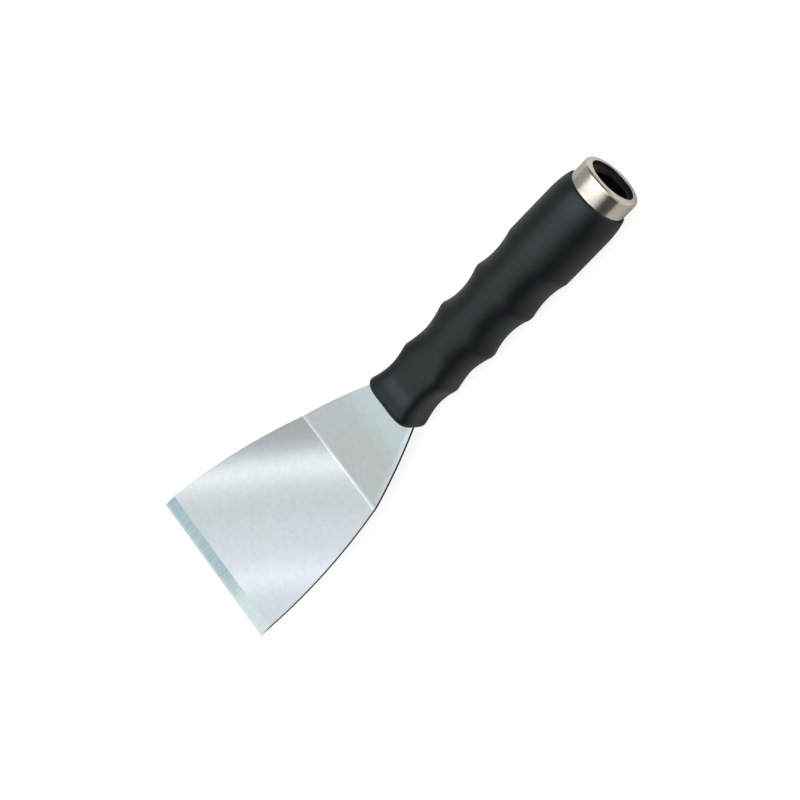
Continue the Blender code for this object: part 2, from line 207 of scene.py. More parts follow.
# the studio's light; the BOX and STRIP numbers are slopes from straight up, towards +X and +Y,
# and the ROOM, CORNER and WALL numbers are parts of a unit direction: TURN and SIDE are its x,
# BACK and FRONT its y, and TOP its z
HORIZON = 0.02                  # the least z of a direction when its slopes are worked out
BOX_ACROSS = (-0.80, 1.00)
BOX_ACROSS_SOFTNESS = 0.50
BOX_ALONG = (-0.95, 1.1)
BOX_ALONG_SOFTNESS = 0.25
BOX_SHADE_ALONG = (0.15, 0.42)
BOX_NEAR_STRENGTH = 1.60
BOX_FAR_STRENGTH = 1.02
BOX_TURN = (-0.70, 0.10)        # the box is weaker towards -X
BOX_TURN_SHARE = 0.72
STRIP_ALONG = (0.06, 0.20)
STRIP_SOFTNESS = 0.04
STRIP_STRENGTH = 1.0
ROOM_TURN = (-0.55, 0.45)
ROOM_DARK = 0.055
ROOM_PALE = 0.33
ROOM_BACK = (-0.8, 0.3)         # the room darkens towards -Y
ROOM_BACK_SHARE = 0.2
ROOM_FRONT = (0.45, 0.85)       # and brightens towards +Y
ROOM_FRONT_STRENGTH = 0.50
ROOM_FRONT_SIDE = (-0.3, 0.2)   # on its +X side only
CORNER_SIDE = (-0.10, -0.50)    # the corner of the room beyond -X and -Y is paler again
CORNER_BACK = (-0.15, -0.42)
CORNER_STRENGTH = 0.55
WALL_SIDE = (-0.45, -0.80)      # a pale wall on the -X side, which ends towards +Y
WALL_BACK = (0.32, 0.02)
WALL_TOP = (0.34, 0.16)         # and fades out upwards
WALL_STRENGTH = 0.42
SKY_TINT = (0.94, 1.0, 1.04)

# the table
TABLE_TONE = (0.60, 0.575, 0.54)
TABLE_GRAIN = (0.62, 0.595, 0.56)
# painted light: a paler patch of table beyond the mouth, for the lip to mirror
TABLE_PAINTED_LIGHT = (0.86, 0.83, 0.79)     # the table beyond the mouth, which the lip mirrors
TABLE_PAINTED_LIGHT_REACH = (0.001, 0.010)   # it turns paler between these distances beyond the mouth
TABLE_GLOW = 0.80                   # seen by the camera only, to even the table out to white
TABLE_DROP = 0.0002                 # the table lies this far below the tool
TABLE_HALF_SIZE = 4.0
TABLE_CELLS = 8

# the camera, at the photograph's viewing angle; its turn is in degrees and its lens in mm
CAMERA_PLACE = (-0.46864, -0.59912, 1.30898)
CAMERA_TURN = (-2.4857, 30.7402, -132.2677)
CAMERA_LENS = 154.38
CAMERA_CLIP = (0.05, 20.0)


# ---------------------------------------------------------------- mesh tools

def spread(start, end, count):
    """count + 1 evenly spaced values from start to end."""
    return [start + (end - start) * step / count for step in range(count + 1)]


def between(stations, values, station):
    """The value at a station, on straight lines between the given stations."""
    if station <= stations[0]:
        return values[0]
    for index in range(1, len(stations)):
        if station <= stations[index]:
            start, end = stations[index - 1], stations[index]
            share = (station - start) / (end - start)
            return values[index - 1] + share * (values[index] - values[index - 1])
    return values[-1]


def add_piece(name, bm, materials, sharp_angle=PLAIN_SHARP):
    """A smooth-shaded piece in the row's frame, from a bmesh in the tool's frame."""
    bmesh.ops.translate(bm, verts=bm.verts, vec=MOUTH)
    bmesh.ops.recalc_face_normals(bm, faces=bm.faces)
    mesh = bpy.data.meshes.new(name)
    bm.to_mesh(mesh)
    bm.free()
    mesh.shade_smooth()
    mesh.set_sharp_from_angle(angle=math.radians(sharp_angle))
    for material in materials:
        mesh.materials.append(material)
    piece = bpy.data.objects.new(name, mesh)
    bpy.context.scene.collection.objects.link(piece)
    return piece


def bridge_rings(bm, rings, closed):
    """Join rings of vertices one after another; closed also joins the last to the first."""
    count = len(rings[0])
    pairs = list(zip(rings, rings[1:]))
    if closed:
        pairs.append((rings[-1], rings[0]))
    for first, second in pairs:
        for index in range(count):
            after = (index + 1) % count
            bm.faces.new((first[index], first[after], second[after], second[index]))


def loft(rings):
    """A solid through rings of points, with a flat cap at each end."""
    bm = bmesh.new()
    made = [[bm.verts.new(point) for point in ring] for ring in rings]
    bridge_rings(bm, made, closed=False)
    bm.faces.new(made[0])
    bm.faces.new(made[-1])
    return bm


def round_ring(station, radius, segments):
    turns = [2 * math.pi * step / segments for step in range(segments)]
    return [(radius * math.cos(turn), station, radius * math.sin(turn)) for turn in turns]


def turned_ring(outline, segments):
    """A closed (station, radius) outline turned about the handle's axis."""
    bm = bmesh.new()
    rings = []
    for station, radius in outline:
        rings.append([bm.verts.new(point) for point in round_ring(station, radius, segments)])
    bridge_rings(bm, rings, closed=True)
    return bm


def arc_points(centre_station, centre_radius, size, start, end, steps):
    """Points on an arc in the (station, radius) plane, between two angles in degrees."""
    points = []
    for angle in spread(math.radians(start), math.radians(end), steps):
        points.append((centre_station + size * math.cos(angle),
                       centre_radius + size * math.sin(angle)))
    return points


def subtract(target, bm):
    """Cut a bmesh, drawn in the tool's frame, out of a piece, and keep the result as its mesh."""
    cutter = add_piece("cutter", bm, [])
    difference = target.modifiers.new("cut", "BOOLEAN")
    difference.operation = "DIFFERENCE"
    difference.solver = "EXACT"
    difference.object = cutter
    evaluated = target.evaluated_get(bpy.context.evaluated_depsgraph_get())
    mesh = bpy.data.meshes.new_from_object(evaluated)
    welded = bmesh.new()
    welded.from_mesh(mesh)
    bmesh.ops.remove_doubles(welded, verts=welded.verts, dist=WELD_DISTANCE)
    bmesh.ops.dissolve_degenerate(welded, edges=welded.edges, dist=WELD_DISTANCE)
    welded.to_mesh(mesh)
    welded.free()
    target.modifiers.remove(difference)
    target.data = mesh
    bpy.data.objects.remove(cutter, do_unlink=True)


# ---------------------------------------------------------------- material tools

class Nodes:
    """A new material's node tree, with short ways to add and join nodes."""

    def __init__(self, name, colour, roughness, metallic=0.0):
        self.material = bpy.data.materials.new(name)
        self.material.use_nodes = True
        self.tree = self.material.node_tree
        self.shader = self.tree.nodes["Principled BSDF"]
        self.shader.inputs["Base Color"].default_value = (*colour, 1.0)
        self.shader.inputs["Roughness"].default_value = roughness
        self.shader.inputs["Metallic"].default_value = metallic

    def add(self, kind, **settings):
        node = self.tree.nodes.new(kind)
        for key, value in settings.items():
            setattr(node, key, value)
        return node

    def join(self, source, target):
        self.tree.links.new(source, target)

    def place(self, scale=(1.0, 1.0, 1.0)):
        """Object coordinates, stretched."""
        coordinates = self.add("ShaderNodeTexCoord")
        mapping = self.add("ShaderNodeMapping")
        mapping.inputs["Scale"].default_value = scale
        self.join(coordinates.outputs["Object"], mapping.inputs["Vector"])
        return mapping.outputs["Vector"]

    def noise(self, vector, scale, detail, roughness):
        texture = self.add("ShaderNodeTexNoise")
        texture.inputs["Scale"].default_value = scale
        texture.inputs["Detail"].default_value = detail
        texture.inputs["Roughness"].default_value = roughness
        self.join(vector, texture.inputs["Vector"])
        return texture.outputs["Fac"]

    def remap(self, value, low, high, to_low, to_high):
        node = self.add("ShaderNodeMapRange")
        node.inputs["From Min"].default_value = low
        node.inputs["From Max"].default_value = high
        node.inputs["To Min"].default_value = to_low
        node.inputs["To Max"].default_value = to_high
        self.join(value, node.inputs["Value"])
        return node.outputs["Result"]

    def ramp(self, value, *stops, smooth=False):
        """Colours along a value, as (place, colour) stops."""
        node = self.add("ShaderNodeValToRGB")
        if smooth:
            node.color_ramp.interpolation = "B_SPLINE"
        colours = node.color_ramp.elements
        while len(colours) < len(stops):
            colours.new(0.5)
        for element, (place, colour) in zip(colours, stops):
            element.position = place
            element.color = (*colour, 1.0)
        self.join(value, node.inputs["Fac"])
        return node.outputs["Color"]

    def blend(self, share, first, second, mode="MIX"):
        """Mix two colours; each is a socket or a plain colour, and so is the share."""
        node = self.add("ShaderNodeMix", data_type="RGBA", blend_type=mode)
        for socket, value in ((node.inputs[0], share), (node.inputs[6], first),
                              (node.inputs[7], second)):
            if isinstance(value, bpy.types.NodeSocket):
                self.join(value, socket)
            elif isinstance(value, tuple):
                socket.default_value = (*value, 1.0)
            else:
                socket.default_value = value
        return node.outputs[2]

    def bump(self, height, strength, distance):
        node = self.add("ShaderNodeBump")
        node.inputs["Strength"].default_value = strength
        node.inputs["Distance"].default_value = distance
        self.join(height, node.inputs["Height"])
        return node.outputs["Normal"]

    def paint(self, colour, roughness=None, normal=None):
        for source, name in ((colour, "Base Color"), (roughness, "Roughness"),
                             (normal, "Normal")):
            if source is not None:
                self.join(source, self.shader.inputs[name])


# ---------------------------------------------------------------- materials

def steel_material():
    """Rolled stainless sheet with a satin finish; over the blade run soft aslant bands of painted
    reflection, lighter and darker, in its colour.
    """
    made = Nodes("satin_stainless", (0.42, 0.43, 0.44), 0.22, 1.0)
    coordinates = made.add("ShaderNodeTexCoord")
    parts = made.add("ShaderNodeSeparateXYZ")
    made.join(coordinates.outputs["Object"], parts.inputs[0])
    aslant = made.add("ShaderNodeVectorMath", operation="DOT_PRODUCT")
    aslant.inputs[1].default_value = (1.0, -BAND_SLANT, 0.0)
    made.join(coordinates.outputs["Object"], aslant.inputs[0])
    drift = made.remap(made.noise(made.place(), 30.0, 2.0, 0.5), 0.0, 1.0, -0.003, 0.003)
    place = made.add("ShaderNodeMath", operation="ADD")
    made.join(aslant.outputs["Value"], place.inputs[0])
    made.join(drift, place.inputs[1])
    across_bands = made.remap(place.outputs[0], BAND_START, BAND_END, 0.0, 1.0)
    stops = []
    for at, level in PAINTED_REFLECTION_LEVELS:
        share = (at - BAND_START) / (BAND_END - BAND_START)
        tint = [cool + (plain - cool) * share for cool, plain in zip(STEEL_COOL, STEEL_PLAIN)]
        stops.append((share, tuple(level * part for part in tint)))
    # painted reflection: the aslant bands of painted highlight and painted shade go into the
    # blade's colour
    painted_reflection_bands = made.ramp(across_bands, *stops, smooth=True)
    crease_y = MOUTH.y + CREASE_STATION
    on_blade = made.remap(parts.outputs["Y"], crease_y - CREASE_BLUR, crease_y + CREASE_BLUR,
                          0.0, 1.0)
    clouds = made.noise(made.place(scale=(1.0, 0.7, 1.0)), 55.0, 3.0, 0.5)
    spot = made.add("ShaderNodeVectorMath", operation="DISTANCE")
    spot.inputs[1].default_value = (NECK_SPOT[0], crease_y + NECK_SPOT[1], MOUTH.z)
    made.join(coordinates.outputs["Object"], spot.inputs[0])
    away = made.remap(spot.outputs["Value"], *NECK_SPOT_REACH, -0.18, 0.22)
    clouded = made.add("ShaderNodeMath", operation="ADD")
    made.join(clouds, clouded.inputs[0])
    made.join(away, clouded.inputs[1])
    neck = made.ramp(clouded.outputs[0], (0.32, NECK_WARM), (0.68, NECK_COOL))
    grip_y = MOUTH.y + GRIP_END
    near_grip = made.remap(parts.outputs["Y"], grip_y + NECK_GRIP_REACH[0],
                           grip_y + NECK_GRIP_REACH[1], 1.0, 0.0)
    grip_tint = made.blend(near_grip, (1.0, 1.0, 1.0), NECK_GRIP_TINT)
    neck = made.blend(1.0, neck, grip_tint, "MULTIPLY")
    # painted highlight along the neck's -X margin, read from the mesh attribute
    margin = made.add("ShaderNodeAttribute", attribute_name="painted_margin_highlight")
    highlight_lift = made.remap(margin.outputs["Fac"], 0.0, 1.0, 1.0, MARGIN_HIGHLIGHT)
    neck = made.blend(1.0, neck, highlight_lift, "MULTIPLY")
    colour = made.blend(on_blade, neck, painted_reflection_bands)
    mottle = made.noise(made.place(), 420.0, 3.0, 0.6)
    tone = made.remap(mottle, 0.3, 0.7, 0.97, 1.03)
    colour = made.blend(1.0, colour, tone, "MULTIPLY")
    fine = made.noise(made.place(scale=(40.0, 1.0, 1.0)), 60.0, 3.0, 0.6)
    roughness = made.remap(fine, 0.25, 0.75, 0.19, 0.26)
    made.paint(colour, roughness, made.bump(fine, 0.015, 0.00002))
    return made.material


def ground_material():
    """The bevel: fine grinding lines square to the scraping edge; bluer towards +X and paler
    towards -X.
    """
    made = Nodes("ground_bevel", (0.34, 0.44, 0.46), 0.30, 1.0)
    lines = made.noise(made.place(scale=(1.0, 0.03, 0.03)), 1500.0, 3.0, 0.7)
    parts = made.add("ShaderNodeSeparateXYZ")
    coordinates = made.add("ShaderNodeTexCoord")
    made.join(coordinates.outputs["Object"], parts.inputs[0])
    wander = made.remap(made.noise(made.place(), 90.0, 3.0, 0.6), 0.0, 1.0, -0.012, 0.012)
    place = made.add("ShaderNodeMath", operation="ADD")
    made.join(parts.outputs["X"], place.inputs[0])
    made.join(wander, place.inputs[1])
    cool = made.remap(place.outputs[0], *GROUND_TURN, 0.0, 1.0)
    tone = made.blend(cool, GROUND_PALE, GROUND_BLUE)
    streaks = made.remap(lines, 0.35, 0.65, 0.0, 0.30)
    colour = made.blend(streaks, tone, GROUND_STREAK)
    honed = made.remap(parts.outputs["Y"], blade_high.y - HONED_STRIP[0],
                       blade_high.y - HONED_STRIP[1], 0.0, HONED_SHARE)
    colour = made.blend(honed, colour, GROUND_STREAK)
    made.paint(colour, made.remap(lines, 0.3, 0.7, 0.24, 0.40), made.bump(lines, 0.12, 0.00002))
    return made.material


def cut_side_shade_material():
    """The plate's cut sides: painted near-black as painted shade for the dark surroundings they
    mirror; dull, with a slightly torn grain from the press.
    """
    made = Nodes("cut_side_painted_shade", (0.045, 0.055, 0.06), 0.45, 1.0)
    tears = made.noise(made.place(scale=(1.0, 1.0, 6.0)), 900.0, 3.0, 0.6)
    colour = made.ramp(tears, (0.3, (0.010, 0.015, 0.016)), (0.7, (0.024, 0.032, 0.034)))
    made.paint(colour, made.remap(tears, 0.3, 0.7, 0.38, 0.55), made.bump(tears, 0.2, 0.00005))
    return made.material


def rubber_material():
    """Satin moulded rubber with a fine grain and faint blooming."""
    made = Nodes("moulded_rubber", (0.0025, 0.0035, 0.0045), 0.42)
    bloom = made.noise(made.place(), 45.0, 3.0, 0.55)
    colour = made.ramp(bloom, (0.35, RUBBER_DARK), (0.70, RUBBER_PALE))
    grain = made.noise(made.place(), 2600.0, 2.0, 0.5)
    roughness = made.remap(bloom, 0.3, 0.7, 0.38, 0.45)
    made.paint(colour, roughness, made.bump(grain, 0.14, 0.00008))
    made.shader.inputs["IOR"].default_value = RUBBER_IOR
    made.shader.inputs["Specular Tint"].default_value = (*RUBBER_GLOSS_TINT, 1.0)
    made.shader.inputs["Sheen Weight"].default_value = RUBBER_SHEEN
    made.shader.inputs["Sheen Roughness"].default_value = RUBBER_SHEEN_ROUGHNESS
    made.shader.inputs["Sheen Tint"].default_value = (*RUBBER_SHEEN_TINT, 1.0)
    return made.material


def nickel_material():
    """Satin nickel plate: fine turned lines round the ferrule and slight clouding."""
    made = Nodes("satin_nickel", (0.92, 0.82, 0.71), 0.22, 1.0)
    lines = made.noise(made.place(scale=(0.02, 1.0, 0.02)), 5200.0, 3.0, 0.6)
    clouds = made.noise(made.place(), 130.0, 3.0, 0.55)
    tone = made.ramp(clouds, (0.32, NICKEL_DULL), (0.66, NICKEL_BRIGHT))
    specks = made.noise(made.place(), 1500.0, 2.0, 0.6)
    tone = made.blend(1.0, tone, made.remap(specks, 0.3, 0.7, 0.91, 1.06), "MULTIPLY")
    made.paint(tone, made.remap(clouds, 0.3, 0.7, 0.18, 0.28), made.bump(lines, 0.06, 0.00003))
    return made.material


def bare_wall_shade_material():
    """The ferrule's inner wall: bare, dull metal, painted near-black as painted shade for the
    shadowed mouth.
    """
    made = Nodes("bare_wall_painted_shade", (0.02, 0.02, 0.022), 0.6)
    clouds = made.noise(made.place(), 300.0, 3.0, 0.6)
    colour = made.ramp(clouds, (0.3, (0.006, 0.006, 0.007)), (0.7, (0.016, 0.015, 0.015)))
    made.paint(colour, made.remap(clouds, 0.3, 0.7, 0.50, 0.65), made.bump(clouds, 0.1, 0.00005))
    return made.material


def nylon_material():
    """Black moulded nylon with a slight blue cast."""
    made = Nodes("black_nylon", (0.004, 0.004, 0.006), 0.50)
    flow = made.noise(made.place(scale=(1.0, 0.4, 1.0)), 160.0, 3.0, 0.5)
    colour = made.ramp(flow, (0.35, (0.003, 0.003, 0.0045)), (0.70, (0.006, 0.0055, 0.0095)))
    made.paint(colour, made.remap(flow, 0.3, 0.7, 0.44, 0.56), made.bump(flow, 0.08, 0.0001))
    made.shader.inputs["Specular IOR Level"].default_value = NYLON_GLOSS
    return made.material


def core_material():
    """Black moulded plastic, hidden under the rubber."""
    made = Nodes("core_plastic", (0.045, 0.045, 0.048), 0.55)
    grain = made.noise(made.place(), 900.0, 2.0, 0.5)
    colour = made.ramp(grain, (0.3, (0.038, 0.038, 0.041)), (0.7, (0.052, 0.052, 0.055)))
    made.paint(colour, made.remap(grain, 0.3, 0.7, 0.50, 0.62), made.bump(grain, 0.1, 0.0001))
    return made.material


def pin_material():
    """Drawn steel wire, hidden in the core."""
    made = Nodes("drawn_steel", (0.55, 0.55, 0.56), 0.4, 1.0)
    lines = made.noise(made.place(scale=(1.0, 1.0, 0.05)), 1800.0, 2.0, 0.5)
    colour = made.ramp(lines, (0.3, (0.50, 0.50, 0.51)), (0.7, (0.60, 0.60, 0.61)))
    made.paint(colour, made.remap(lines, 0.3, 0.7, 0.34, 0.48), made.bump(lines, 0.1, 0.00005))
    return made.material


def floor_material():
    """A plain pale table top with a very faint grain, evened out to white for the camera, with a
    pool of painted light beyond the mouth for the lip to mirror.
    """
    made = Nodes("pale_table", TABLE_TONE, 0.85)
    grain = made.noise(made.place(), 30.0, 2.0, 0.5)
    tone = made.ramp(grain, (0.3, TABLE_TONE), (0.7, TABLE_GRAIN))
    parts = made.add("ShaderNodeSeparateXYZ")
    made.join(made.place(), parts.inputs[0])
    # painted light: the table turns paler beyond the mouth
    paler = made.remap(parts.outputs["Y"], MOUTH.y - TABLE_PAINTED_LIGHT_REACH[0],
                       MOUTH.y - TABLE_PAINTED_LIGHT_REACH[1], 0.0, 1.0)
    made.paint(made.blend(paler, tone, TABLE_PAINTED_LIGHT))
    path = made.add("ShaderNodeLightPath")
    glow = made.remap(path.outputs["Is Camera Ray"], 0.0, 1.0, 0.0, TABLE_GLOW)
    made.shader.inputs["Emission Color"].default_value = (1.0, 1.0, 1.0, 1.0)
    made.join(glow, made.shader.inputs["Emission Strength"])
    return made.material


# ---------------------------------------------------------------- the blade

def side_half_width(distance):
    """The plate's half width at a distance from the scraping edge."""
    arc = SIDE_RADIUS - math.sqrt(SIDE_RADIUS ** 2 - distance ** 2)
    return BLADE_WIDTH / 2 - SIDE_LEAN * distance - arc


def plate_point(distance, depth, x=0.0):
    """(station, height) of a point of the bent plate, at a depth below its hollow face."""
    top = PLATE_OFFSET + PLATE_THICKNESS / 2
    along = BLADE_LENGTH - distance
    radius = between((-BLADE_WIDTH / 2, BLADE_WIDTH / 2), BEND_RADII[::-1], x)
    tangent = radius * math.tan(BEND_ANGLE / 2)
    share = min(max((along + tangent) / (2 * tangent), 0.0), 1.0)
    turn = BEND_ANGLE * share
    station = CREASE_STATION - tangent + radius * math.sin(turn)
    height = top + radius * (1 - math.cos(turn))
    straight = max(along - tangent, 0.0) + min(along + tangent, 0.0)
    station += straight * math.cos(turn) + depth * math.sin(turn)
    height += straight * math.sin(turn) - depth * math.cos(turn)
    return station, height


def plate_distances():
    """Where the plate's cross sections lie, from the scraping edge into the grip."""
    tangent = max(BEND_RADII) * math.tan(BEND_ANGLE / 2)
    neck = BLADE_LENGTH + CREASE_STATION - NECK_END
    distances = spread(0.0, BEVEL_WIDTH, BEVEL_STEPS)
    distances += spread(BEVEL_WIDTH, BLADE_LENGTH - tangent, BLADE_STEPS)[1:]
    distances += spread(BLADE_LENGTH - tangent, BLADE_LENGTH + tangent, CREASE_STEPS)[1:]
    distances += spread(BLADE_LENGTH + tangent, neck, NECK_STEPS)[1:]
    return distances


def neck_share(distance):
    """0 on the blade, rising to 1 a little way up the neck."""
    share = (distance - BLADE_LENGTH) / NECK_RISE
    share = min(max(share, 0.0), 1.0)
    return share * share * (3 - 2 * share)


def plate_section(distance):
    """One closed cross section of the plate, from its left side over the top and back."""
    half = side_half_width(distance)
    ground = 0.0
    if distance < BEVEL_WIDTH:
        ground = (PLATE_THICKNESS - EDGE_THICKNESS) * (1 - distance / BEVEL_WIDTH)
    thickness = PLATE_THICKNESS - ground
    arris = min(ARRIS, thickness * ARRIS_LIMIT)
    inner = half - arris
    across = spread(0.0, inner - MARGIN_POINTS[0], TOP_STEPS)
    across += [inner - margin for margin in MARGIN_POINTS[1:]] + [inner]
    top_side = [(x, 0.0) for x in across]
    roll = EDGE_ROLL_DEPTH * neck_share(distance)
    over = []
    for x, _ in top_side:
        into = max(EDGE_ROLL - (inner - x), 0.0) / EDGE_ROLL
        over.append((x, ground + roll * into ** 2))
    corner = ground + roll
    cut = arris * ARRIS_CORNER
    rounded = [(half - cut, corner + cut), (half, corner + arris)]
    under = [(half, PLATE_THICKNESS - arris), (half - cut, PLATE_THICKNESS - cut)]
    below = [(x, PLATE_THICKNESS) for x, _ in reversed(top_side)]
    right = over[1:] + rounded + under + below[:-1]
    left = [(-x, depth) for x, depth in reversed(right)]
    section = left + [(0.0, ground)] + right + [(0.0, PLATE_THICKNESS)]
    points = []
    for x, depth in section:
        station, height = plate_point(distance, depth, x)
        points.append((x, station, height))
    return points


def make_blade():
    bm = loft([plate_section(distance) for distance in plate_distances()])
    bevel_start = plate_point(BEVEL_WIDTH, 0.0)[0]
    bmesh.ops.recalc_face_normals(bm, faces=bm.faces)
    for face in bm.faces:
        centre = face.calc_center_median()
        # the cut sides get the near-black painted shade
        if abs(face.normal.x) > SIDE_FACING:
            face.material_index = 2
        elif centre.y > bevel_start and face.normal.z > TOP_FACING:
            face.material_index = 1
    # the painted highlight covers only the -X margin of the neck, where its tilt would catch the
    # light
    margin = bm.verts.layers.float.new("painted_margin_highlight")
    for vertex in bm.verts:
        distance = BLADE_LENGTH + CREASE_STATION - vertex.co.y
        inset = side_half_width(distance) + vertex.co.x
        if vertex.co.y < CREASE_STATION and inset < EDGE_ROLL * MARGIN_SHARE:
            vertex[margin] = neck_share(distance)
    finishes = [steel_material(), ground_material(), cut_side_shade_material()]
    blade = add_piece("scraper_blade", bm, finishes, BLADE_SHARP)
    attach(blade, "root")
    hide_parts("blade")


# ---------------------------------------------------------------- the rubber grip

def hollow_half_width(station):
    """Half width of the grip at its finger hollows, whose ridges are sharp here."""
    if station <= RIDGE_STATIONS[0]:
        return RIDGE_HALF_WIDTHS[0] + (RIDGE_STATIONS[0] - station)
    if station >= RIDGE_STATIONS[-1]:
        return RIDGE_HALF_WIDTHS[-1]
    index = 0
    while station > RIDGE_STATIONS[index + 1]:
        index += 1
    start, end = RIDGE_STATIONS[index], RIDGE_STATIONS[index + 1]
    share = (station - start) / (end - start)
    straight = between(RIDGE_STATIONS, RIDGE_HALF_WIDTHS, station)
    return straight - HOLLOW_DEPTHS[index] * 4 * share * (1 - share)


def soft_half_width(station):
    """The same half width with its ridges rounded over."""
    nearby = spread(station - RIDGE_SOFTNESS, station + RIDGE_SOFTNESS, RIDGE_STEPS)
    return sum(hollow_half_width(place) for place in nearby) / len(nearby)


def grip_half_width(station):
    if station < GRIP_SHOULDER_END:
        share = (GRIP_SHOULDER_END - station) / (GRIP_SHOULDER_END - GRIP_START)
        drop = 1 - math.sqrt(1 - GRIP_SHOULDER_ARC * share ** 2)
        full = 1 - math.sqrt(1 - GRIP_SHOULDER_ARC)
        return GRIP_RADIUS - (GRIP_RADIUS - GRIP_START_RADIUS) * drop / full
    return min(GRIP_RADIUS, soft_half_width(station))


def grip_half_height(station):
    if station <= GRIP_TAPER_START:
        return grip_half_width(station)
    share = (station - GRIP_TAPER_START) / (GRIP_END - GRIP_TAPER_START)
    flare = min(max((station - FLARE_START) / (FLARE_END - FLARE_START), 0.0), 1.0)
    return (GRIP_RADIUS - (GRIP_RADIUS - GRIP_END_HALF_HEIGHT) * share ** GRIP_TAPER_POWER
            + FLARE_RISE * flare * flare * (3 - 2 * flare))


def rounding_inset(station):
    """How far the rounded ends of the grip draw its surface in."""
    into_start = START_ROUNDING - (station - GRIP_START)
    into_end = END_ROUNDING - (GRIP_END - station)
    for size, into in ((START_ROUNDING, into_start), (END_ROUNDING, into_end)):
        if into > 0:
            return size - math.sqrt(max(size ** 2 - into ** 2, 0.0))
    return 0.0


def grip_radius(station, turn):
    """Distance from the axis to the grip's surface in the direction turn from +X."""
    across = abs(math.cos(turn)) / grip_half_width(station)
    upright = abs(math.sin(turn)) / grip_half_height(station)
    power = between(SQUARE_STATIONS, SQUARE_POWERS, station)
    return 1 / (across ** power + upright ** power) ** (1 / power) - rounding_inset(station)


def grip_stations():
    rounded_start = [GRIP_START + START_ROUNDING * (1 - math.cos(turn))
                     for turn in spread(0.0, math.pi / 2, GRIP_START_STEPS)]
    body = GRIP_END - END_ROUNDING - GRIP_START - START_ROUNDING
    middle = spread(GRIP_START + START_ROUNDING, GRIP_END - END_ROUNDING,
                    round(body / GRIP_RING_STEP))[1:]
    rounded_end = [GRIP_END - END_ROUNDING * (1 - math.sin(turn))
                   for turn in spread(0.0, math.pi / 2, GRIP_END_STEPS)[1:]]
    return rounded_start + middle + rounded_end


def grip_ring(station):
    points = []
    for step in range(GRIP_SEGMENTS):
        turn = 2 * math.pi * step / GRIP_SEGMENTS
        radius = grip_radius(station, turn)
        points.append((radius * math.cos(turn), station, radius * math.sin(turn)))
    return points


def slot_solid():
    """The shape of the neck, a little larger, which opens the grip's front end."""
    rings = []
    start = BLADE_LENGTH + CREASE_STATION - GRIP_END - SLOT_OUTSIDE
    end = BLADE_LENGTH + CREASE_STATION - NECK_END + SLOT_PAST_NECK
    for distance in spread(start, end, SLOT_STEPS):
        side = side_half_width(distance) + SLOT_GAP
        top = plate_point(distance, -SLOT_GAP)
        bottom = plate_point(distance, PLATE_THICKNESS + SLOT_GAP)
        rings.append([(-side, *bottom), (side, *bottom), (side, *top), (-side, *top)])
    return loft(rings)


def make_grip():
    grip = add_piece("rubber_grip", loft([grip_ring(place) for place in grip_stations()]),
                     [rubber_material()], GRIP_SHARP)
    recess = [round_ring(station, FERRULE_RADIUS + SHADOW_GAP, FERRULE_SEGMENTS)
              for station in (GRIP_START - RECESS_OUTSIDE, GRIP_START + RECESS_DEPTH)]
    subtract(grip, loft(recess))
    subtract(grip, slot_solid())
    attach(grip, "root")
    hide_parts("grip_sleeve")


# ---------------------------------------------------------------- ferrule and bush

def ferrule_outline():
    inner = FERRULE_RADIUS - FERRULE_WALL
    outline = arc_points(MOUTH_ROUNDING, MOUTH_RADIUS + MOUTH_ROUNDING, MOUTH_ROUNDING,
                         270, 180, MOUTH_STEPS)
    outline += arc_points(LIP_ROUNDING, FERRULE_RADIUS - LIP_ROUNDING, LIP_ROUNDING,
                          180, 90, LIP_STEPS)
    outline += [(FERRULE_LENGTH * 0.5, FERRULE_RADIUS), (FERRULE_LENGTH, FERRULE_RADIUS),
                (FERRULE_LENGTH, inner), (LIP_THICKNESS, inner), (LIP_THICKNESS, MOUTH_RADIUS)]
    return outline


def make_ferrule():
    bm = turned_ring(ferrule_outline(), FERRULE_SEGMENTS)
    for face in bm.faces:
        centre = face.calc_center_median()
        # the inner wall gets the bare-metal material with its painted shade
        if math.hypot(centre.x, centre.z) < MOUTH_RADIUS and centre.y > MOUTH_ROUNDING:
            face.material_index = 1
    finishes = [nickel_material(), bare_wall_shade_material()]
    ferrule = add_piece("plated_ferrule", bm, finishes, FERRULE_SHARP)
    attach(ferrule, "root")
    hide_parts("end_ferrule")


def thread_section():
    """(share of a pitch, radius) of the corners of one turn of the trapezoidal thread."""
    return ((0.05, THREAD_MINOR_RADIUS), (0.40, THREAD_MINOR_RADIUS),
            (0.58, THREAD_MAJOR_RADIUS), (0.87, THREAD_MAJOR_RADIUS))


